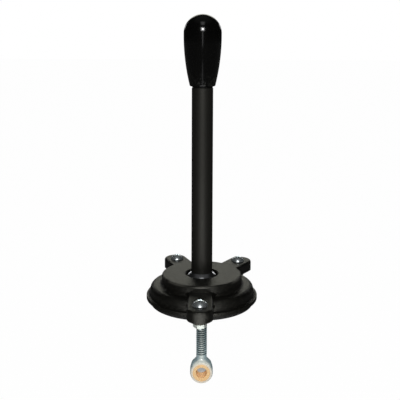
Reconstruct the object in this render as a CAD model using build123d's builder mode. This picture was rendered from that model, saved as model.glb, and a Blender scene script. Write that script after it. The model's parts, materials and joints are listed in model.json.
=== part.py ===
from build123d import *
import os
from math import cos, radians, sin, sqrt, tan

# Ball-pivot control lever in its stepped housing, in millimetres, +Z up.
# The origin is the centre of the base gasket's lower face, on the lever's axis; the front is -Y.

os.makedirs("parts", exist_ok=True)

# Housing: the flange's radius leads, and the walls inside it follow at fixed widths
flange_radius = 50.0
flange_width = 3.2
flange_thickness = 3.0
flange_edge_round = 0.5
flange_cove = 2.2
wall_draft = 0.3
step_width = 10.3
step_height = 16.4
step_cove = 2.6
step_round = 4.5
plate_height = 25.4
plate_thickness = 3.0
plate_edge_round = 2.0
hole_edge_chamfer = 0.5
window_gap = 0.45
gasket_thickness = 4.2
gasket_setback = 3.6
gasket_hole_margin = 1.0
skirt_wall = 6.0
pocket_roof = 4.5
spigot_wall = 5.0
spigot_lip = 1.6
spigot_shoulder = 1.5

# Screw lugs at uneven angles, their screws on one circle and their round ends just beyond it
lug_reach = 13.6
lug_overhang = 4.4
lug_angles = (268.8, 56.1, 112.9)
lug_radius = 10.8
lug_top = 20.0
lug_edge_round = 2.0
lug_bottom = 7.4
lug_taper_height = 3.0
lug_taper_angle = 59.5
lug_arm_start = 26.0
lower_web_top = 13.0
lower_web_inset = 0.3
lower_web_fillet = 4.0
upper_web_fillet = 7.0

# Lug screws and nuts
screw_radius = 3.0
screw_head_radius = 6.0
screw_head_height = 4.2
screw_head_rim = 1.5
screw_tip_length = 2.2
screw_tip_chamfer = 0.6
screw_hole_clearance = 0.3
recess_length = 6.4
recess_width = 1.4
recess_depth = 2.3
nut_across_flats = 10.0
nut_height = 5.2
nut_chamfer_angle = 30.0

# Ball, its seats and the cross pin
ball_radius = 17.5
ball_drop = 10.0
seat_wall = 8.5
seat_gap = 0.3
seat_split = 0.4
seat_fit = 0.1
lower_seat_drop = 10.4
pin_radius = 3.0
pin_chamfer = 0.8
pin_clearance = 0.05
keyway_depth = 2.6
slot_clearance = 0.3
gate_angle = 9.0
spring_height = 1.7
spring_thickness = 0.9
spring_hole_radius = 19.5
ring_thickness = 2.0
ring_width = 3.4
ring_groove_depth = 1.5
ring_gap_width = 9.0
ring_eye_radius = 2.6
ring_eye_hole_radius = 1.1
ring_eye_overlap = 0.5

# Lever
shaft_radius = 9.5
shaft_length = 166.9
shaft_chamfer = 0.6
spigot_thread_radius = 6.0
spigot_thread_length = 22.0
stem_radius = 7.0
stem_length = 5.0
thread_gap = 0.05
tap_run_out = 2.0
knob_thread_radius = 5.0
knob_thread_length = 20.0

# Knob
knob_radius = 16.8
knob_length = 63.4
knob_foot_radius = 11.2
knob_foot_round = 1.25
knob_belly_sag = 3.0
insert_radius = 7.5
insert_end_wall = 2.0
insert_flange_height = 1.0
insert_groove_count = 2
insert_groove_depth = 0.6
insert_groove_width = 1.5

# Eye bolt
eye_drop = 66.5
eye_radius = 10.4
eye_face_radius = 9.6
eye_width = 12.0
eye_bevel = 2.0
eye_shoulder_width = 10.6
eye_shoulder_top = 12.2
eye_shoulder_corner = 9.0
eye_shoulder_foot = 2.5
bolt_radius = 5.0
bolt_engagement = 14.0
bolt_neck_radius = 4.8
bolt_neck_top = 16.0
bush_wall = 3.0
bush_bore_radius = 5.0
bush_chamfer = 0.4
bush_fit = 0.02
bolt_tip_chamfer = 0.8
lock_nut_across_flats = 16.0
lock_nut_height = 8.0

# For finding edges and corners again
match_tolerance = 0.01
seam_margin = 1.0

# Places worked out from the sizes above
wall_foot_radius = flange_radius - flange_width
step_radius = wall_foot_radius - wall_draft
plate_radius = step_radius - step_width
pocket_radius = wall_foot_radius - skirt_wall
gasket_radius = flange_radius - gasket_setback
lug_circle_radius = flange_radius + lug_reach
flange_top = gasket_thickness + flange_thickness
plate_underside = plate_height - plate_thickness
ball_height = plate_underside - ball_drop
hole_radius = sqrt(ball_radius**2 - ball_drop**2) + window_gap
bore_radius = ball_radius + seat_wall
spigot_radius = bore_radius + spigot_wall
seat_sphere_radius = ball_radius + seat_gap
seat_radius = bore_radius - seat_fit
upper_seat_top = plate_underside - seat_fit
lower_seat_bottom = ball_height - lower_seat_drop
ring_top = lower_seat_bottom - spring_height - 2 * seat_fit
ring_outer = bore_radius + ring_groove_depth - seat_fit
spigot_bottom = ring_top - ring_thickness - seat_fit - spigot_lip
slot_half_width = pin_radius + slot_clearance
keyway_radius = bore_radius + keyway_depth
pin_length = 2 * (keyway_radius - 2 * slot_clearance)
pin_swing = (pin_length / 2) * sin(radians(gate_angle)) + pin_radius
keyway_top = ball_height + pin_swing + 2 * slot_clearance
stud_top = ball_height + sqrt(ball_radius**2 - shaft_radius**2)
shaft_top = stud_top + shaft_length
insert_length = knob_thread_length + tap_run_out + insert_end_wall
knob_foot = shaft_top + insert_flange_height
knob_top = knob_foot + knob_length
stem_bottom = ball_height - sqrt(ball_radius**2 - stem_radius**2) - stem_length
bolt_top = stem_bottom + bolt_engagement
bush_radius = bush_bore_radius + bush_wall
bolt_foot = bush_radius - eye_drop
screw_length = lug_top - lug_bottom + nut_height + screw_tip_length
dome_rise = screw_head_height - screw_head_rim
screw_dome_radius = (screw_head_radius**2 + dome_rise**2) / (2 * dome_rise)


# Points at the lugs' angles, at one distance from the lever's axis
def at_lug_angles(distance):
    return [(distance * cos(radians(angle)), distance * sin(radians(angle))) for angle in lug_angles]


lug_places = at_lug_angles(lug_circle_radius)
lug_ends = at_lug_angles(lug_circle_radius + lug_overhang)
arm_middles = at_lug_angles((lug_arm_start + lug_circle_radius + lug_overhang) / 2)

# The lever's top grip: a round head on a long, slightly swelling taper
with BuildPart() as knob:
    head_centre = knob_top - knob_radius
    with BuildSketch(Plane.XZ):
        with BuildLine():
            crown = CenterArc((0, head_centre), knob_radius, 0, 90)
            foot_corner = (knob_foot_radius, knob_foot)
            middle = (
                (knob_radius + knob_foot_radius) / 2 + knob_belly_sag / 2,
                (head_centre + knob_foot) / 2,
            )
            belly = ThreePointArc(crown @ 0, middle, foot_corner)
            Polyline(belly @ 1, (0, knob_foot), (0, knob_top))
        make_face()
        foot_vertex = vertices().sort_by_distance(foot_corner)[0]
        fillet(foot_vertex, knob_foot_round)
    revolve(axis=Axis.Z)
    with Locations((0, 0, knob_foot)):
        Cylinder(
            insert_radius,
            insert_length - insert_flange_height,
            align=(Align.CENTER, Align.CENTER, Align.MIN),
            mode=Mode.SUBTRACT,
        )
knob.part.label = "knob"
export_step(knob.part, "parts/knob.step")

# Threaded steel bush moulded into the knob, its foot standing just proud as a collar
with BuildPart() as knob_insert:
    with BuildSketch(Plane.XY.offset(shaft_top)):
        Circle(insert_radius - thread_gap)
    extrude(amount=insert_length - thread_gap)
    with BuildSketch(Plane.XY.offset(shaft_top)):
        Circle(knob_thread_radius)
    extrude(amount=knob_thread_length + tap_run_out, mode=Mode.SUBTRACT)
    groove_pitch = insert_length / (insert_groove_count + 1)
    for number in range(insert_groove_count):
        groove_height = shaft_top + (number + 1) * groove_pitch
        with BuildSketch(Plane.XY.offset(groove_height)):
            Circle(insert_radius)
            Circle(insert_radius - insert_groove_depth, mode=Mode.SUBTRACT)
        extrude(amount=insert_groove_width, mode=Mode.SUBTRACT)
knob_insert.part.label = "knob_insert"
export_step(knob_insert.part, "parts/knob_insert.step")

# Straight round lever bar, tapped at the foot and turned down to a thread at the top
with BuildPart() as lever_shaft:
    with BuildSketch(Plane.XY.offset(stud_top)):
        Circle(shaft_radius)
    extrude(amount=shaft_length)
    chamfer(edges().filter_by(GeomType.CIRCLE).group_by(Axis.Z)[-1], shaft_chamfer)
    with BuildSketch(Plane.XY.offset(shaft_top)):
        Circle(knob_thread_radius - thread_gap)
    extrude(amount=knob_thread_length)
    chamfer(edges().filter_by(GeomType.CIRCLE).group_by(Axis.Z)[-1], shaft_chamfer)
    with BuildSketch(Plane.XY.offset(stud_top)):
        Circle(spigot_thread_radius)
    extrude(amount=spigot_thread_length + tap_run_out, mode=Mode.SUBTRACT)
lever_shaft.part.label = "lever_shaft"
export_step(lever_shaft.part, "parts/lever_shaft.step")

# Pivot ball turned in one with its upper threaded spigot and its lower tapped stem
with BuildPart() as pivot_ball:
    with Locations((0, 0, ball_height)):
        Sphere(ball_radius)
    with BuildSketch(Plane.XY.offset(stud_top)):
        Circle(ball_radius)
    extrude(amount=ball_radius, mode=Mode.SUBTRACT)
    with BuildSketch(Plane.XY.offset(stud_top)):
        Circle(spigot_thread_radius - thread_gap)
    extrude(amount=spigot_thread_length)
    with BuildSketch(Plane.XY.offset(stem_bottom)):
        Circle(stem_radius)
    extrude(amount=ball_height - stem_bottom)
    with BuildSketch(Plane.XY.offset(stem_bottom)):
        Circle(bolt_radius)
    extrude(amount=bolt_engagement + tap_run_out, mode=Mode.SUBTRACT)
    with BuildSketch(Plane.XZ):
        with Locations((0, ball_height)):
            Circle(pin_radius + pin_clearance)
    extrude(amount=ball_radius, both=True, mode=Mode.SUBTRACT)
pivot_ball.part.label = "pivot_ball"
export_step(pivot_ball.part, "parts/pivot_ball.step")

# Pin across the ball; its ends ride in the housing's keyways and stop the lever turning
with BuildPart() as cross_pin:
    with BuildSketch(Plane.XZ):
        with Locations((0, ball_height)):
            Circle(pin_radius)
    extrude(amount=pin_length / 2, both=True)
    chamfer(edges().filter_by(GeomType.CIRCLE), pin_chamfer)
cross_pin.part.label = "cross_pin"
export_step(cross_pin.part, "parts/cross_pin.step")

# Upper half of the ball's nylon seat, under the housing's top plate
with BuildPart() as upper_seat:
    with BuildSketch(Plane.XY.offset(ball_height + seat_split / 2)):
        Circle(seat_radius)
    extrude(amount=upper_seat_top - ball_height - seat_split / 2)
    with Locations((0, 0, ball_height)):
        Sphere(seat_sphere_radius, mode=Mode.SUBTRACT)
    with BuildSketch(Plane.XY.offset(ball_height)):
        Rectangle(2 * slot_half_width, 2 * bore_radius)
    extrude(amount=pin_swing + slot_clearance, mode=Mode.SUBTRACT)
upper_seat.part.label = "upper_seat"
export_step(upper_seat.part, "parts/upper_seat.step")

# Lower half of the seat, pushed up against the ball by the disc spring
with BuildPart() as lower_seat:
    with BuildSketch(Plane.XY.offset(lower_seat_bottom)):
        Circle(seat_radius)
    extrude(amount=lower_seat_drop - seat_split / 2)
    with Locations((0, 0, ball_height)):
        Sphere(seat_sphere_radius, mode=Mode.SUBTRACT)
    with BuildSketch(Plane.XY.offset(ball_height)):
        Rectangle(2 * slot_half_width, 2 * bore_radius)
    extrude(amount=-pin_swing - slot_clearance, mode=Mode.SUBTRACT)
lower_seat.part.label = "lower_seat"
export_step(lower_seat.part, "parts/lower_seat.step")

# Coned disc spring between the lower seat and the retaining ring
with BuildPart() as disc_spring:
    with BuildSketch(Plane.XZ):
        with BuildLine():
            spring_low = ring_top + seat_fit
            spring_high = spring_low + spring_height
            Polyline(
                (seat_radius, spring_low),
                (seat_radius, spring_low + spring_thickness),
                (spring_hole_radius, spring_high),
                (spring_hole_radius, spring_high - spring_thickness),
                close=True,
            )
        make_face()
    revolve(axis=Axis.Z)
disc_spring.part.label = "disc_spring"
export_step(disc_spring.part, "parts/disc_spring.step")

# Internal retaining ring with its two plier eyes, in a groove near the bore's mouth
with BuildPart() as retaining_ring:
    with BuildSketch(Plane.XY.offset(ring_top - ring_thickness)):
        Circle(ring_outer)
        Circle(ring_outer - ring_width, mode=Mode.SUBTRACT)
        with Locations((ring_outer, 0)):
            Rectangle(2 * ring_outer, ring_gap_width, mode=Mode.SUBTRACT)
        eye_spot = (ring_outer - ring_width, ring_gap_width / 2 + ring_eye_radius - ring_eye_overlap)
        with Locations(eye_spot, (eye_spot[0], -eye_spot[1])):
            Circle(ring_eye_radius)
            Circle(ring_eye_hole_radius, mode=Mode.SUBTRACT)
    extrude(amount=ring_thickness)
retaining_ring.part.label = "retaining_ring"
export_step(retaining_ring.part, "parts/retaining_ring.step")


# A disc with a round-ended arm for each lug; concave fillets blend the arms into the disc
def lug_arms(disc_radius, blend):
    with BuildSketch() as arms:
        Circle(disc_radius)
        for middle, end in zip(arm_middles, lug_ends):
            SlotCenterPoint(middle, end, 2 * lug_radius)
        corners = arms.vertices().filter_by(
            lambda v: abs(Vector(v.X, v.Y).length - disc_radius) < match_tolerance
            and abs(v.Y) > seam_margin
        )
        fillet(corners, blend)
    return arms.sketch_local


# The lugs' arms where they leave the step's outer wall
lower_arms = lug_arms(step_radius - lower_web_inset, lower_web_fillet)
with BuildPart() as lower_web:
    with BuildSketch(Plane.XY.offset(lug_bottom + lug_taper_height)):
        add(lower_arms)
    extrude(amount=lower_web_top - lug_bottom - lug_taper_height)

# The arms above that, up to the plate's wall, with rounded upper edges
upper_arms = lug_arms(plate_radius, upper_web_fillet)
with BuildPart() as upper_web:
    with BuildSketch(Plane.XY.offset(lower_web_top)):
        add(upper_arms)
    extrude(amount=lug_top - lower_web_top)
    fillet(upper_web.faces().sort_by(Axis.Z)[-1].edges(), lug_edge_round)

# Stepped, domed cover with a skirt, a seat bore and three screw lugs
with BuildPart() as housing:
    with BuildSketch(Plane.XZ):
        with BuildLine():
            Polyline(
                (0, gasket_thickness),
                (flange_radius, gasket_thickness),
                (flange_radius, flange_top),
                (wall_foot_radius, flange_top),
                (step_radius, step_height),
                (plate_radius, step_height),
                (plate_radius, plate_height),
                (0, plate_height),
                close=True,
            )
        make_face()
        fillet(vertices().sort_by_distance((wall_foot_radius, flange_top))[0], flange_cove)
        fillet(vertices().sort_by_distance((step_radius, step_height))[0], step_round)
        fillet(vertices().sort_by_distance((plate_radius, step_height))[0], step_cove)
        fillet(vertices().sort_by_distance((plate_radius, plate_height))[0], plate_edge_round)
        fillet(vertices().sort_by_distance((flange_radius, flange_top))[0], flange_edge_round)
    revolve(axis=Axis.Z)
    add(lower_web.part)
    add(upper_web.part)

    # The lugs' lower ends taper in towards their nuts
    for middle, end in zip(arm_middles, lug_ends):
        with BuildSketch(Plane.XY.offset(lug_bottom + lug_taper_height)):
            SlotCenterPoint(middle, end, 2 * lug_radius)
        extrude(amount=-lug_taper_height, taper=lug_taper_angle)

    # Spigot below the rim, and the cast-out pocket between it and the skirt
    with BuildSketch(Plane.XY.offset(gasket_thickness)):
        Circle(pocket_radius)
        Circle(spigot_radius + spigot_shoulder, mode=Mode.SUBTRACT)
    extrude(amount=step_height - pocket_roof - gasket_thickness, mode=Mode.SUBTRACT)
    with BuildSketch(Plane.XY.offset(spigot_bottom)):
        Circle(spigot_radius)
    extrude(amount=gasket_thickness - spigot_bottom)

    # Seat bore, keyways for the cross pin and groove for the retaining ring
    with BuildSketch(Plane.XY.offset(spigot_bottom)):
        Circle(bore_radius)
    extrude(amount=plate_underside - spigot_bottom, mode=Mode.SUBTRACT)
    with BuildSketch(Plane.XY.offset(spigot_bottom)):
        Rectangle(2 * slot_half_width, 2 * keyway_radius)
    extrude(amount=keyway_top - spigot_bottom, mode=Mode.SUBTRACT)
    with BuildSketch(Plane.XY.offset(ring_top - ring_thickness - seat_fit)):
        Circle(bore_radius + ring_groove_depth)
    extrude(amount=ring_thickness + 2 * seat_fit, mode=Mode.SUBTRACT)

    # Round window that the ball and shaft stand in
    with BuildSketch(Plane.XY.offset(plate_underside)):
        Circle(hole_radius)
    extrude(amount=plate_thickness, mode=Mode.SUBTRACT)
    window = edges().filter_by(GeomType.CIRCLE).filter_by(
        lambda e: abs(e.center().Z - plate_height) < match_tolerance
        and abs(e.radius - hole_radius) < match_tolerance
    )
    chamfer(window, hole_edge_chamfer)

    with BuildSketch(Plane.XY):
        with Locations(*lug_places):
            Circle(screw_radius + screw_hole_clearance)
    extrude(amount=plate_height, mode=Mode.SUBTRACT)
housing.part.label = "housing"
export_step(housing.part, "parts/housing.step")

# Flat rubber gasket under the flange
with BuildPart() as base_gasket:
    with BuildSketch(Plane.XY):
        Circle(gasket_radius)
        Circle(pocket_radius + gasket_hole_margin, mode=Mode.SUBTRACT)
    extrude(amount=gasket_thickness)
base_gasket.part.label = "base_gasket"
export_step(base_gasket.part, "parts/base_gasket.step")


# A plain nut standing on the XY plane, its corners chamfered at both ends
def hex_nut(across_flats, height, thread_radius):
    corner = across_flats / sqrt(3)
    drop = (corner - across_flats / 2) * tan(radians(nut_chamfer_angle))
    with BuildPart() as nut:
        with BuildSketch():
            RegularPolygon(across_flats / 2, 6, major_radius=False)
            Circle(thread_radius + thread_gap, mode=Mode.SUBTRACT)
        extrude(amount=height)
        with BuildSketch(Plane.XZ):
            for end, inward in ((0, drop), (height, height - drop)):
                with BuildLine():
                    Polyline(
                        (across_flats / 2, end),
                        (2 * corner, end),
                        (2 * corner, inward),
                        (corner, inward),
                        close=True,
                    )
                make_face()
        revolve(axis=Axis.Z, mode=Mode.SUBTRACT)
    return nut.part


# Pan-head cross-recessed screws through the lugs
with BuildPart() as lug_screws:
    for x, y in lug_places:
        side = Plane(origin=(x, y, lug_top), x_dir=(1, 0, 0), z_dir=(0, -1, 0))
        with BuildSketch(side):
            with BuildLine():
                Line((0, 0), (screw_head_radius, 0))
                Line((screw_head_radius, 0), (screw_head_radius, screw_head_rim))
                RadiusArc(
                    (screw_head_radius, screw_head_rim),
                    (0, screw_head_height),
                    -screw_dome_radius,
                )
                Line((0, screw_head_height), (0, 0))
            make_face()
        revolve(axis=Axis((x, y, 0), (0, 0, 1)))
        with BuildSketch(Plane.XY.offset(lug_top)):
            with Locations((x, y)):
                Circle(screw_radius)
        extrude(amount=-screw_length)
        with BuildSketch(Plane.XY.offset(lug_top + screw_head_height)):
            with Locations((x, y)):
                Rectangle(recess_length, recess_width)
                Rectangle(recess_width, recess_length)
        extrude(amount=-recess_depth, mode=Mode.SUBTRACT)
    tips = edges().filter_by(GeomType.CIRCLE).group_by(Axis.Z)[0]
    chamfer(tips, screw_tip_chamfer)
lug_screws.part.label = "lug_screws"
export_step(lug_screws.part, "parts/lug_screws.step")

# Their nuts, screwed up against the lugs' lower ends
lug_nut = hex_nut(nut_across_flats, nut_height, screw_radius)
with BuildPart() as lug_nuts:
    with Locations(*[(x, y, lug_bottom - nut_height) for x, y in lug_places]):
        add(lug_nut)
lug_nuts.part.label = "lug_nuts"
export_step(lug_nuts.part, "parts/lug_nuts.step")

# Nut that locks the eye bolt in the ball's stem
large_nut = hex_nut(lock_nut_across_flats, lock_nut_height, bolt_radius)
with BuildPart() as lock_nut:
    with Locations((0, 0, stem_bottom - lock_nut_height)):
        add(large_nut)
lock_nut.part.label = "lock_nut"
export_step(lock_nut.part, "parts/lock_nut.step")

# Eye bolt: a threaded shank and a turned shoulder, then a bevelled eye that lies across it
with BuildPart() as eye_bolt:
    with BuildSketch(Plane.XZ):
        with BuildLine():
            Polyline(
                (0, -eye_drop),
                (eye_radius, -eye_drop),
                (eye_radius, eye_shoulder_foot - eye_drop),
                (eye_shoulder_corner, eye_shoulder_top - eye_shoulder_corner + bolt_radius - eye_drop),
                (bolt_radius, eye_shoulder_top - eye_drop),
                (0, eye_shoulder_top - eye_drop),
                close=True,
            )
        make_face()
    revolve(axis=Axis.Z)
    with Locations((0, 0, -eye_drop)):
        Box(2 * eye_radius, eye_shoulder_width, 2 * eye_radius + eye_shoulder_top, mode=Mode.INTERSECT)
    with BuildSketch(Plane.XY.offset(-eye_drop)):
        with BuildLine():
            Polyline(
                (0, -eye_width / 2),
                (eye_face_radius, -eye_width / 2),
                (eye_radius, -eye_width / 2 + eye_bevel),
                (eye_radius, eye_width / 2 - eye_bevel),
                (eye_face_radius, eye_width / 2),
                (0, eye_width / 2),
                close=True,
            )
        make_face()
    revolve(axis=Axis((0, 0, -eye_drop), (0, 1, 0)))
    with BuildSketch(Plane.XY.offset(bolt_foot)):
        Circle(bolt_neck_radius)
    extrude(amount=bolt_neck_top - bush_radius)
    with BuildSketch(Plane.XY.offset(bolt_neck_top - eye_drop)):
        Circle(bolt_radius - thread_gap)
    extrude(amount=bolt_top - bolt_neck_top + eye_drop)
    chamfer(edges().filter_by(GeomType.CIRCLE).group_by(Axis.Z)[-1], bolt_tip_chamfer)
    with BuildSketch(Plane.XZ.offset(-eye_width / 2)):
        with Locations((0, -eye_drop)):
            Circle(bush_radius)
    extrude(amount=eye_width, mode=Mode.SUBTRACT)
eye_bolt.part.label = "eye_bolt"
export_step(eye_bolt.part, "parts/eye_bolt.step")

# Plain bronze bush pressed into the eye
with BuildPart() as eye_bush:
    with BuildSketch(Plane.XZ.offset(-eye_width / 2)):
        with Locations((0, -eye_drop)):
            Circle(bush_radius - bush_fit)
            Circle(bush_bore_radius, mode=Mode.SUBTRACT)
    extrude(amount=eye_width)
    chamfer(edges().filter_by(GeomType.CIRCLE), bush_chamfer)
eye_bush.part.label = "eye_bush"
export_step(eye_bush.part, "parts/eye_bush.step")
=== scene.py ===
import json
import math

import bmesh
import bpy
from mathutils import Matrix, Vector


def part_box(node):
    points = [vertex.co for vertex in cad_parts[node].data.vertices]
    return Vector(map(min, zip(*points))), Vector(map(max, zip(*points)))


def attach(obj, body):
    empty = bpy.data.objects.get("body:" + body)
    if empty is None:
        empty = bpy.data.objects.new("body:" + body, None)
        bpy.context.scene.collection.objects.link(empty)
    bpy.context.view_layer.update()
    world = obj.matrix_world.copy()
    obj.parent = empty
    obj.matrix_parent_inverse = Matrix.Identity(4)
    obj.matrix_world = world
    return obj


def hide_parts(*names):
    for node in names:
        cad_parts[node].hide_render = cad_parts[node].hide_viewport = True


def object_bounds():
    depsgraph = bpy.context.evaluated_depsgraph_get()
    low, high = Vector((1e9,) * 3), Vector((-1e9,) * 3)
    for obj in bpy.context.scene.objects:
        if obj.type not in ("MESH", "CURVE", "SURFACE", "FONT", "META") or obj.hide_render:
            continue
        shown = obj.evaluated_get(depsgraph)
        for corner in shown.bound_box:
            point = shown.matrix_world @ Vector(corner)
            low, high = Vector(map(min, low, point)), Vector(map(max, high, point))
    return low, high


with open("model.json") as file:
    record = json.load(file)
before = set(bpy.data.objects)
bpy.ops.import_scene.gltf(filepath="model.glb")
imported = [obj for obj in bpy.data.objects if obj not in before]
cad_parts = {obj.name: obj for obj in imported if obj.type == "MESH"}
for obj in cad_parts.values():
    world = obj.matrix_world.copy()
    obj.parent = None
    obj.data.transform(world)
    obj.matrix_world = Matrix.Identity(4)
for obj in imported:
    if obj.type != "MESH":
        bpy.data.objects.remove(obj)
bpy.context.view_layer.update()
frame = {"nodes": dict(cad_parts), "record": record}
nodes = frame["nodes"]
mm = 0.001
print("frame loaded:", len(nodes), "CAD nodes")


# Shader maths: a wrapped socket takes part in Python sums

class Wire:
    def __init__(self, paint, out):
        self.paint = paint
        self.out = out

    def maths(self, operation, first, second):
        return self.paint.node("ShaderNodeMath", {"operation": operation}, {0: first, 1: second})

    def __add__(self, other):
        return self.maths("ADD", self, other)

    def __radd__(self, other):
        return self.maths("ADD", other, self)

    def __sub__(self, other):
        return self.maths("SUBTRACT", self, other)

    def __rsub__(self, other):
        return self.maths("SUBTRACT", other, self)

    def __mul__(self, other):
        return self.maths("MULTIPLY", self, other)

    def __rmul__(self, other):
        return self.maths("MULTIPLY", other, self)

    def __pow__(self, other):
        return self.maths("POWER", self, other)

    def __rpow__(self, other):
        return self.maths("POWER", other, self)


class Paint:
    def __init__(self, tree):
        self.tree = tree

    def node(self, kind, settings=None, sockets=None, out=0):  # out is a tuple for several outputs or none
        made = self.tree.nodes.new(kind)
        for key, value in (settings or {}).items():
            setattr(made, key, value)
        for key, value in (sockets or {}).items():
            self.feed(made.inputs[key], value)
        if isinstance(out, tuple):
            return [Wire(self, made.outputs[key]) for key in out]
        return Wire(self, made.outputs[out])

    def feed(self, socket, value):
        if isinstance(value, Wire):
            self.tree.links.new(value.out, socket)
        elif isinstance(value, tuple) and len(value) == 3 and socket.type == "RGBA":
            socket.default_value = (*value, 1)
        else:
            socket.default_value = value

    def mix(self, share, first, second):
        return self.node("ShaderNodeMix", {"data_type": "RGBA"}, {0: share, 6: first, 7: second}, out=2)

    def noise(self, place, scale, detail=3.0, rough=0.55):
        return self.node("ShaderNodeTexNoise", {}, {"Vector": place, "Scale": scale, "Detail": detail,
                                                    "Roughness": rough})

    def band(self, value, low, high):  # 0 below low, 1 above high, smooth between
        return self.node("ShaderNodeMapRange", {"interpolation_type": "SMOOTHSTEP"},
                         {"Value": value, "From Min": low, "From Max": high})

    def bump(self, height, strength, distance):
        return self.node("ShaderNodeBump", {}, {"Height": height, "Strength": strength, "Distance": distance})

    def vector(self, operation, first, second, out=0):
        return self.node("ShaderNodeVectorMath", {"operation": operation}, {0: first, 1: second}, out)

    def split(self, vector):  # into x, y and z
        return self.node("ShaderNodeSeparateXYZ", {}, {0: vector}, out=(0, 1, 2))

    def join(self, x, y, z):
        return self.node("ShaderNodeCombineXYZ", {}, {0: x, 1: y, 2: z})


socketNames = {"color": "Base Color", "roughness": "Roughness", "metallic": "Metallic", "normal": "Normal",
               "specular": "Specular IOR Level", "tint": "Specular Tint"}


class Finish(Paint):
    def __init__(self, name):
        self.material = bpy.data.materials.new(name)
        self.material.use_nodes = True
        super().__init__(self.material.node_tree)
        self.shader = self.tree.nodes["Principled BSDF"]
        self.place = self.node("ShaderNodeTexCoord", out=3)  # the object's own place, in metres

    def set(self, **values):
        for key, value in values.items():
            self.feed(self.shader.inputs[socketNames[key]], value)
        return self.material

    def stretched(self, x, y, z):  # the place, scaled along each axis
        return self.vector("MULTIPLY", self.place, (x, y, z))


# Finishes

# The foot of the knob is dusty below wornBelow and clean above cleanAbove, heights above the foot
knobLook = {"color": (0.0010, 0.0010, 0.0009), "haze": (0.0030, 0.0030, 0.0027),
            "dust": (0.030, 0.030, 0.026), "roughness": 0.10, "specular": 0.38,
            "wornBelow": 3 * mm, "cleanAbove": 14 * mm}


def makeKnobGloss():
    look = knobLook
    paint = Finish("knobGloss")
    dust = paint.noise(paint.place, 420, 5, 0.65)
    hands = paint.noise(paint.place, 46, 4, 0.6)
    speck = paint.band(dust, 0.62, 0.72)
    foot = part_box("knob")[0].z
    height = paint.split(paint.place)[2]
    clean = paint.band(height, foot + look["wornBelow"], foot + look["cleanAbove"])
    worn = (1 - clean) * paint.band(dust, 0.50, 0.66)
    color = paint.mix(speck * 0.4 + hands * 0.25, look["color"], look["haze"])
    color = paint.mix(worn * 0.35, color, look["dust"])
    rough = hands * 0.06 + speck * 0.08 + worn * 0.12 + look["roughness"]
    wave = paint.noise(paint.place, 60, 2, 0.4)
    return paint.set(color=color, roughness=rough, normal=paint.bump(wave, 0.05, 0.4 * mm),
                     specular=look["specular"])


shaftLook = {"color": (0.0030, 0.0029, 0.0024), "pale": (0.009, 0.0088, 0.0074), "roughness": 0.44,
             "specular": 0.36, "tint": (1, 0.985, 0.90)}


def makeShaftBlack():
    look = shaftLook
    paint = Finish("shaftBlack")
    grain = paint.noise(paint.stretched(1, 1, 0.5), 900, 4, 0.6)
    drawn = paint.noise(paint.stretched(1, 1, 0.03), 500, 3, 0.5)
    rub = paint.band(paint.noise(paint.stretched(1, 1, 0.35), 60, 4, 0.6), 0.55, 0.75)
    color = paint.mix(grain * 0.5 + rub * 0.35, look["color"], look["pale"])
    rough = grain * 0.10 + look["roughness"] - rub * 0.08
    height = grain * 0.7 + drawn * 0.3
    return paint.set(color=color, roughness=rough, normal=paint.bump(height, 0.22, 0.2 * mm),
                     specular=look["specular"], tint=look["tint"])


# The top plate's edge is worn from rimStart to rimEnd, measured from the middle, and each of them fades.
# The wear lies between rimDepth and rimTop below the housing's top
housingLook = {"color": (0.0008, 0.0008, 0.0006), "pale": (0.0056, 0.0054, 0.0042),
               "bare": (0.10, 0.098, 0.085), "roughness": 0.28, "specular": 0.40, "tint": (1, 0.99, 0.90),
               "grain": 0.70,
               "rimStart": (33.5 * mm, 35.2 * mm), "rimEnd": (36.0 * mm, 36.3 * mm),
               "rimDepth": 2.1 * mm, "rimTop": 0.8 * mm}


def makeHousingBlack():
    look = housingLook
    paint = Finish("housingBlack")
    x, y, z = paint.split(paint.place)
    reach = (x * x + y * y) ** 0.5
    grain = paint.noise(paint.place, 430, 4, 0.66)
    fine = paint.noise(paint.place, 1900, 3, 0.6)
    cloud = paint.noise(paint.place, 55, 4, 0.6)
    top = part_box("housing")[1].z
    rim = paint.band(reach, *look["rimStart"]) * (1 - paint.band(reach, *look["rimEnd"]))
    worn = rim * paint.band(z, top - look["rimDepth"], top - look["rimTop"]) * paint.band(cloud, 0.42, 0.62)
    spots = paint.band(grain, 0.42, 0.66)
    color = paint.mix(spots * 0.6 + cloud * 0.3, look["color"], look["pale"])
    color = paint.mix(worn * 0.3, color, look["bare"])
    rough = grain * 0.20 + fine * 0.06 + look["roughness"] - worn * 0.06
    height = grain * 0.7 + fine * 0.3
    return paint.set(color=color, roughness=rough, normal=paint.bump(height, look["grain"], 0.5 * mm),
                     specular=look["specular"], tint=look["tint"])


rubberLook = {"color": (0.012, 0.012, 0.0115), "dust": (0.045, 0.043, 0.038), "roughness": 0.68,
              "specular": 0.3}


def makeRubber():
    look = rubberLook
    paint = Finish("gasketRubber")
    grain = paint.noise(paint.place, 800, 4, 0.65)
    dust = paint.band(paint.noise(paint.place, 130, 5, 0.7), 0.56, 0.72)
    color = paint.mix(dust * 0.4, look["color"], look["dust"])
    return paint.set(color=color, roughness=grain * 0.12 + look["roughness"],
                     normal=paint.bump(grain, 0.3, 0.3 * mm), specular=look["specular"])


ballLook = {"color": (0.42, 0.43, 0.45), "film": (0.60, 0.61, 0.62), "roughness": 0.12}


def makeBallSteel():
    look = ballLook
    paint = Finish("ballSteel")
    swirl = paint.noise(paint.stretched(1, 1, 3), 300, 4, 0.6)
    film = paint.noise(paint.place, 90, 3, 0.6)
    color = paint.mix(film * 0.6, look["color"], look["film"])
    return paint.set(color=color, metallic=1.0, roughness=swirl * 0.09 + look["roughness"],
                     normal=paint.bump(swirl, 0.05, 0.2 * mm))


screwSpread = 20 * mm  # a lug screw's points are nearer to each other than this


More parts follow.
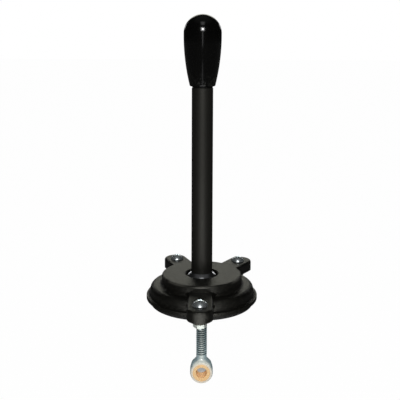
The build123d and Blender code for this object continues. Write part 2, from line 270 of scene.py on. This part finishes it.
def lugPlaces():  # x and y of each lug screw, and the height of the heads' tops
    points = [v.co for v in nodes["lug_screws"].data.vertices]
    groups = []
    for point in points:
        group = next((g for g in groups if (g[0].xy - point.xy).length < screwSpread), None)
        if group is None:
            groups.append([point])
        else:
            group.append(point)
    places = []
    for group in groups:
        xs = [p.x for p in group]
        ys = [p.y for p in group]
        places.append(((min(xs) + max(xs)) / 2, (min(ys) + max(ys)) / 2))
    return sorted(places), max(p.z for p in points)


# The eye bolt's sizes, which its finish needs too. Heights are above the eye's middle. The points of a round
# are steps out and up from its corner, in mm for shoulder and neck and in shares of edgeRound for the eye
boltShape = {"threadRadius": 4.97 * mm, "pitch": 2.0 * mm, "threadOverlap": 0.8 * mm,
             "neckRadius": 4.75 * mm, "neckTop": 16.0 * mm, "neckTaper": (0.4 * mm, 0.6 * mm),
             "neckRound": ((0.9, -0.75), (0.35, -0.05), (0.1, 0.6), (0, 1.2)),
             "shoulderTop": 12.2 * mm, "shoulderCorner": 9.0 * mm, "shoulderFoot": 2.5 * mm,
             "shoulderWaist": 4.6 * mm, "waistInset": 0.5 * mm,
             "cornerRound": ((0.25, -1.0), (-0.1, -0.1), (-0.7, 0.75)),
             "flatHalf": 5.3 * mm, "faceRadius": 9.6 * mm, "bevelHeight": 2.0 * mm, "edgeRound": 0.3 * mm,
             "faceRound": ((-1, 0), (-0.3, 0.25), (0.25, 1)), "rimRound": ((-0.4, -1), (-0.06, 0.2), (0, 1)),
             "boreRadius": 8.0 * mm, "edgeBevel": 0.25 * mm}

zincLooks = {
    "screwZinc": {"color": (0.80, 0.85, 0.86), "dull": (0.44, 0.50, 0.51), "roughness": 0.17, "metal": 0.92},
    "nutZinc": {"color": (0.62, 0.66, 0.61), "dull": (0.42, 0.46, 0.43), "roughness": 0.36, "metal": 0.50},
    "boltZinc": {"color": (0.76, 0.97, 1.0), "dull": (0.42, 0.58, 0.63), "roughness": 0.26, "metal": 0.60},
}
zincPit = (0.20, 0.21, 0.20)

# The screws' recess is painted dark as shade. Its edge is measured from the screw's middle, and its
# floor and mouth from the head's top down
recessLook = {"shadow": (0.012, 0.014, 0.014), "edge": (3.1 * mm, 3.6 * mm), "floor": (3.0 * mm, 2.8 * mm),
              "mouth": (1.5 * mm, 0.9 * mm)}

# The eye's two flat faces are rough and pale, and so are their bevels in part: depths in from the faces.
# The roots of the thread are painted dark as shade: depths in from its crests
eyeLook = {"bare": (0.97, 0.92, 0.80), "bareDull": (0.80, 0.74, 0.62), "face": (0.4 * mm, 0.1 * mm),
           "bevel": (2.6 * mm, 0.6 * mm), "root": (0.035, 0.050, 0.052), "rootDepth": (1.0 * mm, 0.2 * mm),
           "rootFade": 0.4 * mm}


def below(level, depths):
    return [level - depth for depth in depths]


def shadeRecess(paint, color):
    look = recessLook
    places, top = lugPlaces()
    x, y, z = paint.split(paint.place)
    flat = paint.join(x, y, 0.0)
    for place in places:
        away = paint.vector("DISTANCE", flat, (*place, 0), out=1)
        inside = (1 - paint.band(away, *look["edge"])) * paint.band(z, *below(top, look["floor"]))
        deep = inside * (1 - paint.band(z, *below(top, look["mouth"])))
        # Painted shade darkens each recess towards its floor
        color = paint.mix(deep * 0.92, color, look["shadow"])
    return color


def eyeFaces(paint):  # 1 on the eye's two faces, less over their bevels
    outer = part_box("eye_bolt")[1].y
    side = (paint.split(paint.place)[1] ** 2) ** 0.5
    face = paint.band(side, *below(outer, eyeLook["face"]))
    return paint.band(side, *below(outer, eyeLook["bevel"])) * 0.6 + face * 0.4


def shadeThread(paint, color):  # painted shade sits in the roots of the thread
    x, y, z = paint.split(paint.place)
    low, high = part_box("eye_bolt")
    start = low.z + (high.x - low.x) / 2 + boltShape["neckTop"]
    above = paint.band(z, start - eyeLook["rootFade"], start + eyeLook["rootFade"])
    crest = paint.band((x * x + y * y) ** 0.5, *below(boltShape["threadRadius"], eyeLook["rootDepth"]))
    # Painted shade darkens the thread between its crests
    return paint.mix(above * (1 - crest) * 0.85, color, eyeLook["root"])


def makeZinc(name):
    look = zincLooks[name]
    paint = Finish(name)
    spangle = paint.noise(paint.place, 500, 4, 0.6)
    film = paint.noise(paint.place, 150, 4, 0.65)
    pits = paint.band(paint.noise(paint.place, 1500, 3, 0.6), 0.60, 0.72)
    color = paint.mix(film * 0.55 + spangle * 0.25, look["color"], look["dull"])
    color = paint.mix(pits * 0.3, color, zincPit)
    rough = spangle * 0.12 + film * 0.08 + look["roughness"]
    metal = look["metal"]
    if name == "screwZinc":
        color = shadeRecess(paint, color)
    if name == "boltZinc":
        bare = eyeFaces(paint)
        color = paint.mix(bare, color, paint.mix(film, eyeLook["bare"], eyeLook["bareDull"]))
        color = shadeThread(paint, color)
        metal = metal * (1 - bare * 0.75)
        rough = rough + bare * 0.12
    return paint.set(color=color, metallic=metal, roughness=rough,
                     normal=paint.bump(spangle + pits * 0.4, 0.12, 0.2 * mm))


bronzeLook = {"color": (1.0, 0.60, 0.25), "pale": (1.0, 0.77, 0.46), "pore": (0.30, 0.16, 0.07),
              "roughness": 0.36, "metal": 0.10}


def makeBronze():
    look = bronzeLook
    paint = Finish("bushBronze")
    pores = paint.band(paint.noise(paint.place, 2600, 3, 0.6), 0.58, 0.70)
    turned = paint.noise(paint.stretched(1, 6, 1), 700, 3, 0.5)
    film = paint.noise(paint.place, 260, 4, 0.6)
    color = paint.mix(film * 0.9, look["color"], look["pale"])
    color = paint.mix(pores * 0.45, color, look["pore"])
    return paint.set(color=color, metallic=look["metal"], roughness=turned * 0.14 + look["roughness"],
                     normal=paint.bump(turned * 0.6 - pores * 0.5, 0.2, 0.2 * mm))


steelLooks = {
    "insertSteel": {"color": (0.030, 0.030, 0.030), "dull": (0.014, 0.014, 0.014), "roughness": 0.38},
    "pinSteel": {"color": (0.52, 0.52, 0.53), "dull": (0.38, 0.38, 0.40), "roughness": 0.22},
    "springSteel": {"color": (0.16, 0.16, 0.17), "dull": (0.09, 0.09, 0.10), "roughness": 0.36},
}


def makeSteel(name):
    look = steelLooks[name]
    paint = Finish(name)
    ground = paint.noise(paint.stretched(1, 0.06, 1), 1400, 3, 0.5)
    film = paint.noise(paint.place, 160, 4, 0.6)
    return paint.set(color=paint.mix(film, look["color"], look["dull"]), metallic=1.0,
                     roughness=ground * 0.14 + look["roughness"], normal=paint.bump(ground, 0.12, 0.2 * mm))


nylonLook = {"color": (0.010, 0.010, 0.0105), "pale": (0.024, 0.024, 0.024), "roughness": 0.46}


def makeNylon():
    look = nylonLook
    paint = Finish("seatNylon")
    grain = paint.noise(paint.place, 900, 4, 0.6)
    grease = paint.band(paint.noise(paint.place, 120, 4, 0.6), 0.48, 0.66)
    color = paint.mix(grain * 0.6, look["color"], look["pale"])
    return paint.set(color=color, roughness=look["roughness"] - grease * 0.18 + grain * 0.08,
                     normal=paint.bump(grain, 0.15, 0.2 * mm))


finishes = {
    "knob_gloss": makeKnobGloss(),
    "insert_steel": makeSteel("insertSteel"),
    "shaft_black": makeShaftBlack(),
    "ball_steel": makeBallSteel(),
    "pin_steel": makeSteel("pinSteel"),
    "seat_nylon": makeNylon(),
    "spring_steel": makeSteel("springSteel"),
    "housing_black": makeHousingBlack(),
    "gasket_rubber": makeRubber(),
    "screw_zinc": makeZinc("screwZinc"),
    "nut_zinc": makeZinc("nutZinc"),
    "bolt_zinc": makeZinc("boltZinc"),
    "bush_bronze": makeBronze(),
}
print("finishes made:", len(finishes))

# The CAD nodes take their finishes from the record's slots
for part in frame["record"]["subparts"]:
    node = nodes[part["node"]]
    material = finishes[part["material_slot"]]
    if not node.material_slots:
        node.data.materials.append(material)
    for slot in node.material_slots:
        slot.material = material


# Mesh tools

weldGap = 1e-6  # points nearer than this are joined
leastEdge = 1e-7  # a shorter edge of a thread is dissolved
onAxis = 1e-9  # a profile's point nearer to its axis than this is on it


def meshObject(name, bm):
    bmesh.ops.remove_doubles(bm, verts=bm.verts, dist=weldGap)
    bmesh.ops.recalc_face_normals(bm, faces=bm.faces)
    mesh = bpy.data.meshes.new(name)
    bm.to_mesh(mesh)
    bm.free()
    made = bpy.data.objects.new(name, mesh)
    bpy.context.scene.collection.objects.link(made)
    return made


def lathe(name, profile, steps, axis="Z", centre=(0, 0, 0)):
    # profile: (radius, height) pairs in metres, first and last on the axis or closed into a ring
    bm = bmesh.new()
    rings = []
    for radius, height in profile:
        ring = []
        for step in range(steps):
            angle = 2 * math.pi * step / steps
            point = Vector((radius * math.cos(angle), radius * math.sin(angle), height))
            if axis == "Y":
                point = Vector((point.x, height, point.y))
            ring.append(bm.verts.new(point + Vector(centre)))
            if radius < onAxis:
                break
        rings.append(ring)
    closing = [rings[0]] if profile[0][0] > onAxis else []
    for low, high in zip(rings, rings[1:] + closing):
        for step in range(steps):
            after = (step + 1) % steps
            corners = [low[step % len(low)], low[after % len(low)]]
            corners += [high[after % len(high)], high[step % len(high)]]
            corners = [v for n, v in enumerate(corners) if v not in corners[:n]]
            if len(corners) > 2:
                bm.faces.new(corners)
    return meshObject(name, bm)


# A thread's form: its depth, half its crest and one flank are shares of the pitch, and rounded is how far the
# flank is eased into crest and root, from 0 to 1
threadForm = {"depth": 0.61, "crestHalf": 0.07, "flank": 0.33, "rounded": 0.35}


def threadRod(name, radius, pitch, low, high, centre, columns, rows, tip=0.0):
    # Each turn has this many rows, and tip is how far the start tapers
    bm = bmesh.new()
    depth = threadForm["depth"] * pitch
    rounded = threadForm["rounded"]
    count = int((high - low) / pitch * rows) + 2 * rows + 1
    grid = []
    for row in range(-rows, count):
        line = []
        for column in range(columns):
            angle = 2 * math.pi * column / columns
            height = low + (row / rows + column / columns) * pitch
            height = min(max(height, low), high)
            phase = ((height - low) / pitch - column / columns) % 1.0
            flank = (abs(phase - 0.5) - threadForm["crestHalf"]) / threadForm["flank"]
            flank = min(1.0, max(0.0, flank))
            flank = flank * flank * (3 - 2 * flank) * rounded + flank * (1 - rounded)
            reach = radius - depth * flank
            if tip and height - low < tip:
                reach = min(reach, radius - tip + (height - low))
            x = centre[0] + reach * math.cos(angle)
            y = centre[1] + reach * math.sin(angle)
            line.append(bm.verts.new((x, y, height)))
        grid.append(line)
    for row in range(len(grid) - 1):
        for column in range(columns):
            # The last column meets the first one a turn further up
            beside, after = (row, column + 1) if column + 1 < columns else (row + rows, 0)
            if beside + 1 < len(grid):
                bm.faces.new((grid[row][column], grid[beside][after], grid[beside + 1][after],
                              grid[row + 1][column]))
    bmesh.ops.remove_doubles(bm, verts=bm.verts, dist=weldGap)
    bmesh.ops.dissolve_degenerate(bm, edges=bm.edges, dist=leastEdge)
    rims = [e for e in bm.edges if e.is_boundary]
    bmesh.ops.holes_fill(bm, edges=rims, sides=0)
    return meshObject(name, bm)


def prism(name, outline, low, high, centre=(0, 0)):
    bm = bmesh.new()
    bottom = [bm.verts.new((centre[0] + x, centre[1] + y, low)) for x, y in outline]
    top = [bm.verts.new((centre[0] + x, centre[1] + y, high)) for x, y in outline]
    bm.faces.new(bottom)
    bm.faces.new(top)
    for n in range(len(outline)):
        after = (n + 1) % len(outline)
        bm.faces.new((bottom[n], bottom[after], top[after], top[n]))
    return meshObject(name, bm)


def combine(target, operation, other):
    cut = target.modifiers.new("cut", "BOOLEAN")
    cut.operation = operation
    cut.object = other
    cut.solver = "EXACT"
    depsgraph = bpy.context.evaluated_depsgraph_get()
    mesh = bpy.data.meshes.new_from_object(target.evaluated_get(depsgraph))
    target.modifiers.remove(cut)
    target.data = mesh
    bpy.data.objects.remove(other)
    return target


def softenEdges(piece, width, angle):  # bevels the edges that are sharper than this angle, in degrees
    edge = piece.modifiers.new("edge", "BEVEL")
    edge.width = width
    edge.segments = 2
    edge.limit_method = "ANGLE"
    edge.angle_limit = math.radians(angle)


def finishPiece(piece, slotName, body, *replaced, sharp):  # smooth shading up to the angle sharp, in degrees
    piece.data.materials.clear()
    piece.data.materials.append(finishes[slotName])
    for polygon in piece.data.polygons:
        polygon.material_index = 0
    piece.data.shade_smooth()
    piece.data.set_sharp_from_angle(angle=math.radians(sharp))
    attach(piece, body)
    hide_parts(*replaced)


# Lug screws: pan heads with a cross recess, and a rolled thread that ends below the nut

# The dome's points are radius and height above the seat, in mm. A wing is half of one bar of the cross. Each
# wingLevel is a share of the recess's depth, of the wing's length and of its width, and the cutter reaches
# cutterRise above the head. The turns of the three recesses are in radians
screwShape = {"headRadius": 6.3 * mm, "headHeight": 4.2 * mm, "rimHeight": 0.5 * mm, "underRound": 0.3 * mm,
              "dome": ((6.22, 0.80), (5.98, 1.30), (5.60, 1.88), (5.10, 2.42), (4.45, 2.95), (3.65, 3.42),
                       (2.70, 3.82), (1.50, 4.10)),
              "footDepth": 0.5 * mm, "footRadius": 2.4 * mm, "footTop": 2.6 * mm,
              "threadRadius": 2.97 * mm, "pitch": 1.0 * mm, "threadTip": 0.6 * mm, "threadGap": 0.2 * mm,
              "recessDepth": 2.8 * mm, "wingLength": 3.3 * mm, "wingWidth": 0.85 * mm, "wingFlare": 0.35 * mm,
              "mouthWidth": 1.18, "wingLevels": ((0.55, 0.66, 0.9), (1.0, 0.36, 0.62)), "cutterRise": 1 * mm,
              "turns": (0.72, 0.80, 0.50)}


def recessCutter(place, top, turn):
    shape = screwShape
    half, wide, depth = shape["wingLength"], shape["wingWidth"], shape["recessDepth"]
    levels = [(shape["cutterRise"], half + shape["wingFlare"], wide * shape["mouthWidth"])]
    levels += [(-depth * down, half * length, wide * width) for down, length, width in shape["wingLevels"]]
    cutters = []
    for arm in range(2):
        bm = bmesh.new()
        spin = Matrix.Rotation(turn + arm * math.pi / 2, 4, "Z")
        rings = []
        for level, reach, width in levels:
            ring = []
            for sx, sy in ((-1, -1), (1, -1), (1, 1), (-1, 1)):
                point = spin @ Vector((sx * reach, sy * width, level))
                ring.append(bm.verts.new(point + Vector((*place, top))))
            rings.append(ring)
        bm.faces.new(rings[0])
        bm.faces.new(rings[-1])
        for upper, lower in zip(rings, rings[1:]):
            for n in range(4):
                after = (n + 1) % 4
                bm.faces.new((upper[n], upper[after], lower[after], lower[n]))
        cutters.append(meshObject("recessCut%d" % arm, bm))
    return combine(cutters[0], "UNION", cutters[1])


def headProfile(seat, high, roundSteps=4):
    shape = screwShape
    head, under = shape["headRadius"], shape["underRound"]
    profile = [(0, seat - shape["footDepth"]), (shape["footRadius"], seat - shape["footDepth"]),
               (shape["footTop"], seat), (head - under, seat)]
    for step in range(1, roundSteps + 1):
        angle = math.pi / 2 * step / roundSteps
        profile.append((head - under * (1 - math.sin(angle)), seat + under * (1 - math.cos(angle))))
    profile.append((head, seat + shape["rimHeight"]))
    profile += [(radius * mm, seat + rise * mm) for radius, rise in shape["dome"]]
    return profile + [(0, high)]


def makeLugScrews():
    shape = screwShape
    places, high = lugPlaces()
    low = min(v.co.z for v in nodes["lug_screws"].data.vertices)
    seat = high - shape["headHeight"]
    for number, place in enumerate(places):
        head = lathe("lugScrew_%d" % number, headProfile(seat, high), steps=72, centre=(*place, 0))
        combine(head, "DIFFERENCE", recessCutter(place, high, shape["turns"][number]))
        shank = threadRod("lugThread_%d" % number, shape["threadRadius"], shape["pitch"], low,
                          seat - shape["threadGap"], place, columns=36, rows=8, tip=shape["threadTip"])
        finishPiece(head, "screw_zinc", "base", "lug_screws", sharp=38)
        finishPiece(shank, "screw_zinc", "base", "lug_screws", sharp=50)


makeLugScrews()
print("lug screws made")


# Nuts: a hexagon turned down at both ends, with a plain hole that is countersunk at both ends

nutShapes = {
    "lugNut": {"node": "lug_nuts", "body": "base", "acrossFlats": 10.0 * mm, "threadRadius": 3.0 * mm},
    "lockNut": {"node": "lock_nut", "body": "lever", "acrossFlats": 16.0 * mm, "threadRadius": 5.0 * mm},
}
# The flat faces are a share of the width across flats, and their corners are turned down at cornerAngle. The
# cutters reach past the nut by clear, clearSide and through
nutCut = {"faceShare": 0.965, "cornerAngle": 28, "mouth": 0.35 * mm, "holeInset": 0.3 * mm,
          "countersink": 0.65 * mm, "edgeBevel": 0.16 * mm, "clear": 0.01 * mm, "clearSide": 0.02 * mm,
          "through": 1 * mm}
lugNutTurns = (0.3, 0.12, 0.75)  # radians


def makeNut(name, kind, place=(0, 0), turn=0.0):
    shape = nutShapes[kind]
    low, high = (end.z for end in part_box(shape["node"]))
    corner = shape["acrossFlats"] / math.sqrt(3)
    angles = [turn + n * math.pi / 3 for n in range(6)]
    outline = [(corner * math.cos(angle), corner * math.sin(angle)) for angle in angles]
    nut = prism(name, outline, low, high, place)
    # The bowl turns the corners down
    face = shape["acrossFlats"] / 2 * nutCut["faceShare"]
    drop = (corner - face) * math.tan(math.radians(nutCut["cornerAngle"]))
    bottom, top, side = low - nutCut["clear"], high + nutCut["clear"], corner + nutCut["clearSide"]
    bowl = lathe("nutBowl", [(0, bottom), (face, bottom), (side, low + drop),
                             (side, high - drop), (face, top), (0, top)], steps=96, centre=(*place, 0))
    combine(nut, "INTERSECT", bowl)
    mouth = shape["threadRadius"] + nutCut["mouth"]
    inner = shape["threadRadius"] - nutCut["holeInset"]
    sink = nutCut["countersink"]
    bottom, top = low - nutCut["through"], high + nutCut["through"]
    hole = lathe("nutHole", [(0, bottom), (mouth, bottom), (mouth, low), (inner, low + sink),
                             (inner, high - sink), (mouth, high), (mouth, top), (0, top)],
                 steps=64, centre=(*place, 0))
    combine(nut, "DIFFERENCE", hole)
    softenEdges(nut, nutCut["edgeBevel"], angle=40)
    finishPiece(nut, "nut_zinc", shape["body"], shape["node"], sharp=38)


for number, place in enumerate(lugPlaces()[0]):
    makeNut("lugNut_%d" % number, "lugNut", place, lugNutTurns[number])
makeNut("lockNut", "lockNut")
print("nuts made")


# Eye bolt: threaded shank, smooth neck, turned shoulder and a round eye with bevelled faces

def makeEye(eye, radius, half):
    shape = boltShape
    face, rounding, bevel = shape["faceRadius"], shape["edgeRound"], shape["bevelHeight"]
    profile = [(0, -half)]
    profile += [(face + out * rounding, -half + up * rounding) for out, up in shape["faceRound"]]
    profile += [(radius + out * rounding, -half + bevel + up * rounding) for out, up in shape["rimRound"]]
    profile += [(r, -h) for r, h in reversed(profile)]
    return lathe("eyeBolt", profile, steps=128, axis="Y", centre=(0, 0, eye))


def makeShoulder(eye, radius):
    shape = boltShape
    corner, neck, top = shape["shoulderCorner"], shape["neckRadius"], shape["shoulderTop"]
    foot = radius - shape["edgeRound"]
    slope = top - (corner - neck)
    inward, down = shape["neckTaper"]
    profile = [(0, 0), (foot, 0), (foot, shape["shoulderFoot"]),
               (radius - shape["waistInset"], shape["shoulderWaist"])]
    profile += [(corner + out * mm, slope + up * mm) for out, up in shape["cornerRound"]]
    profile += [(neck + out * mm, top + up * mm) for out, up in shape["neckRound"]]
    profile += [(neck, shape["neckTop"] - down), (neck - inward, shape["neckTop"]), (0, shape["neckTop"])]
    shoulder = lathe("eyeShoulder", profile, steps=128, centre=(0, 0, eye))
    # The slab leaves two flats, and reaches past the shoulder everywhere else
    flat, wide, under = shape["flatHalf"], 30 * mm, 1 * mm
    outline = [(-wide, -flat), (wide, -flat), (wide, flat), (-wide, flat)]
    slab = prism("eyeSlab", outline, eye - under, eye + wide)
    return combine(shoulder, "INTERSECT", slab)


def makeEyeBolt():
    shape = boltShape
    low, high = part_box("eye_bolt")
    radius = (high.x - low.x) / 2
    eye = low.z + radius
    body = makeEye(eye, radius, (high.y - low.y) / 2)
    combine(body, "UNION", makeShoulder(eye, radius))
    bore, far = shape["boreRadius"], 20 * mm
    hole = lathe("eyeBore", [(0, -far), (bore, -far), (bore, far), (0, far)], steps=96,
                 axis="Y", centre=(0, 0, eye))
    combine(body, "DIFFERENCE", hole)
    softenEdges(body, shape["edgeBevel"], angle=35)
    finishPiece(body, "bolt_zinc", "lever", "eye_bolt", sharp=40)
    start = eye + shape["neckTop"] - shape["threadOverlap"]
    rod = threadRod("eyeThread", shape["threadRadius"], shape["pitch"], start, high.z, (0, 0),
                    columns=64, rows=12)
    finishPiece(rod, "bolt_zinc", "lever", "eye_bolt", sharp=60)


makeEyeBolt()
print("eye bolt made")


# Knob insert: its collar fills the gap between the knob's foot and the bar

insertShape = {"collarRadius": 9.2 * mm, "collarRound": 0.15 * mm, "collarGap": 0.05 * mm,
               "boreRadius": 5.05 * mm, "grooves": 3, "grooveDepth": 0.6 * mm, "grooveHalf": 0.6 * mm,
               "grooveMouth": 0.8 * mm, "endBevel": 0.4 * mm}


def makeInsert():
    shape = insertShape
    low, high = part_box("knob_insert")
    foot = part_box("knob")[0].z
    radius = (high.x - low.x) / 2
    bore, wide, rounding = shape["boreRadius"], shape["collarRadius"], shape["collarRound"]
    top = foot - shape["collarGap"]
    profile = [(bore, low.z), (wide - rounding, low.z), (wide, low.z + rounding), (wide, top - rounding),
               (wide - rounding, top), (radius, top)]
    groove, half, mouth = radius - shape["grooveDepth"], shape["grooveHalf"], shape["grooveMouth"]
    for number in range(1, shape["grooves"] + 1):
        middle = foot + (high.z - foot) * number / (shape["grooves"] + 1)
        profile += [(radius, middle - mouth), (groove, middle - half), (groove, middle + half),
                    (radius, middle + mouth)]
    bevel = shape["endBevel"]
    profile += [(radius, high.z - bevel), (radius - bevel, high.z), (bore, high.z)]
    insert = lathe("knobInsert", profile, steps=96)
    finishPiece(insert, "insert_steel", "lever", "knob_insert", sharp=35)


makeInsert()
print("knob insert made")


# Camera, floor and light

# Distance and height in metres, pitch and roll in degrees, lens and sensor in mm
cameraShape = {"distance": 0.572, "height": 0.2205, "pitch": 5.1, "roll": 0.22, "lens": 58.14, "sensor": 36,
               "shiftX": -0.006, "shiftY": -0.2125, "clipStart": 0.01}


def makeCamera():
    shape = cameraShape
    data = bpy.data.cameras.new("camera")
    data.lens = shape["lens"]
    data.sensor_width = shape["sensor"]
    data.shift_x = shape["shiftX"]
    data.shift_y = shape["shiftY"]
    data.clip_start = shape["clipStart"]
    camera = bpy.data.objects.new("camera", data)
    bpy.context.scene.collection.objects.link(camera)
    aim = Matrix.Rotation(math.radians(90 - shape["pitch"]), 4, "X")
    roll = Matrix.Rotation(math.radians(shape["roll"]), 4, "Z")
    camera.matrix_world = Matrix.Translation((0, -shape["distance"], shape["height"])) @ aim @ roll
    bpy.context.scene.camera = camera


makeCamera()

# The floor's sides are in metres from the part's middle, and drop is how far it lies below the part. Its
# shade is a soft ellipse: half its width and length, and how far behind the eye its middle is
floorShape = {"side": 30, "front": 6, "back": 90, "drop": 0.4 * mm,
              "color": (0.86, 0.86, 0.86), "gloss": (0.055, 0.055, 0.055), "white": 0.985,
              "shadeDepth": 0.80, "shadeHalf": (9.5 * mm, 19 * mm, 1.0), "shadeMiddle": 18.5 * mm,
              "shadeFade": (0.55, 1.0)}


def makeStage():
    shape = floorShape
    side, front, back = shape["side"], -shape["front"], shape["back"]
    bm = bmesh.new()
    outline = ((-side, front), (side, front), (side, back), (-side, back))
    bm.faces.new([bm.verts.new((x, y, 0)) for x, y in outline])
    floor = meshObject("floor", bm)
    floor.location.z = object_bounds()[0].z - shape["drop"]
    material = bpy.data.materials.new("floorPale")
    material.use_nodes = True
    paint = Paint(material.node_tree)
    paint.tree.nodes.clear()
    camera, through, glossy = paint.node("ShaderNodeLightPath",
                                         out=("Is Camera Ray", "Is Transmission Ray", "Is Glossy Ray"))
    matt = paint.node("ShaderNodeBsdfDiffuse", {}, {"Color": shape["color"]})
    mirrored = paint.node("ShaderNodeEmission", {}, {"Color": shape["gloss"], "Strength": 1.0})
    white = paint.node("ShaderNodeEmission", {}, {"Color": (1, 1, 1), "Strength": 1.0})
    both = paint.node("ShaderNodeMixShader", {}, {0: glossy, 1: matt, 2: mirrored})
    # Close behind the eye the floor's own tone comes through, so that the eye's shadow shows in its bore
    place = paint.node("ShaderNodeTexCoord", out=3)
    place = paint.vector("SUBTRACT", place, (0, shape["shadeMiddle"], 0))
    place = paint.vector("DIVIDE", place, shape["shadeHalf"])
    away = paint.node("ShaderNodeVectorMath", {"operation": "LENGTH"}, {0: place}, out=1)
    shade = (1 - paint.band(away, *shape["shadeFade"])) * shape["shadeDepth"]
    seen = (camera + through) * shape["white"] * (1 - shade)
    both = paint.node("ShaderNodeMixShader", {}, {0: seen, 1: both, 2: white})
    # Seen from below the floor is clear
    clear = paint.node("ShaderNodeBsdfTransparent")
    under = paint.node("ShaderNodeNewGeometry", out="Backfacing")
    both = paint.node("ShaderNodeMixShader", {}, {0: under, 1: both, 2: clear})
    paint.node("ShaderNodeOutputMaterial", {}, {"Surface": both}, out=())
    floor.data.materials.append(material)


makeStage()

# What the shiny parts reflect, by the direction that is seen: across is to either side, back is away from the
# camera and up is overhead. Each pair is where a light fades in or out
skyShape = {"ambient": 0.32, "roomGlow": 0.010,
            "sheetGlow": 1.5, "sheetColor": (1.0, 1.0, 0.88), "sheetBack": (0.45, 0.75),
            "sheetLow": (0.18, 0.26), "sheetHigh": (0.45, 0.62), "sheetAcross": (0.20, 0.34),
            "windowGlow": 2.5, "window": (0.43, 0.88, 0.20), "windowEdge": (0.05, 0.09),
            "ceilingGlow": 0.07, "ceilingUp": (0.72, 0.98),
            "spotGlow": 1.3, "spotLow": (0.70, 0.80), "spotHigh": (0.90, 0.97), "spotBack": (-0.30, -0.10),
            "spotAcross": (0.06, 0.24)}


def makeWorld():
    sky = skyShape
    world = bpy.data.worlds.new("studio")
    bpy.context.scene.world = world
    world.use_nodes = True
    paint = Paint(world.node_tree)
    paint.tree.nodes.clear()
    camera, through, glossy = paint.node("ShaderNodeLightPath",
                                         out=("Is Camera Ray", "Is Transmission Ray", "Is Glossy Ray"))
    sideways, back, up = paint.split(paint.node("ShaderNodeTexCoord"))
    across = (sideways ** 2) ** 0.5
    sheet = paint.band(back, *sky["sheetBack"]) * paint.band(up, *sky["sheetLow"])
    sheet = sheet * (1 - paint.band(up, *sky["sheetHigh"])) * (1 - paint.band(across, *sky["sheetAcross"]))
    away = paint.vector("DISTANCE", paint.join(across, back, up), sky["window"], out=1)
    window = (1 - paint.band(away, *sky["windowEdge"])) * sky["windowGlow"]
    ceiling = paint.band(up, *sky["ceilingUp"]) * sky["ceilingGlow"]
    # A small light high in front, which the ball shows as a spot
    spot = paint.band(up, *sky["spotLow"]) * (1 - paint.band(up, *sky["spotHigh"]))
    spot = spot * (1 - paint.band(back, *sky["spotBack"])) * (1 - paint.band(across, *sky["spotAcross"]))
    ceiling = ceiling + spot * sky["spotGlow"]
    reflected = sheet * sky["sheetGlow"] + window + ceiling + sky["roomGlow"]
    matt = (1 - camera) * (1 - glossy) * (1 - through)
    color = paint.mix(sheet * glossy, (1, 1, 1), sky["sheetColor"])
    strength = camera + through + glossy * reflected + matt * sky["ambient"]
    glow = paint.node("ShaderNodeBackground", {}, {"Color": color, "Strength": strength})
    paint.node("ShaderNodeOutputWorld", {}, {"Surface": glow}, out=())


makeWorld()

# Key, flash and upright stand behind the camera, strip and card shine up from just above the floor. Places
# and sizes are in metres, and power is in watts
lamps = {
    "key": {"place": (0, -1.14, 0.72), "aim": (0, 0, 0.15), "size": (0.44, 0.44), "power": 4.7},
    "flash": {"place": (0, -1.13, 0.71), "aim": (0, 0, 0.15), "size": (0.22, 0.22), "power": 6.0,
              "shape": "DISK"},
    "upright": {"place": (0, -1.15, 0.30), "aim": (0, 0, 0.30), "size": (0.09, 0.34), "power": 0.17},
    "strip": {"place": (0, -0.72, -0.06), "aim": (0, -0.72, 1), "size": (0.08, 0.60), "power": 0.10},
    "card": {"place": (0, -0.27, -0.06), "aim": (0, -0.27, 1), "size": (0.26, 0.20), "power": 0.85},
}


def makeLamps():
    for name, values in lamps.items():
        data = bpy.data.lights.new(name, "AREA")
        data.shape = values.get("shape", "RECTANGLE")
        data.size, data.size_y = values["size"]
        data.energy = values["power"]
        lamp = bpy.data.objects.new(name, data)
        bpy.context.scene.collection.objects.link(lamp)
        place = Vector(values["place"])
        lamp.location = place
        lamp.rotation_euler = (Vector(values["aim"]) - place).to_track_quat("-Z", "Y").to_euler()


makeLamps()
bpy.context.scene.view_settings.view_transform = "Standard"
print("camera, floor, world and lamps made")
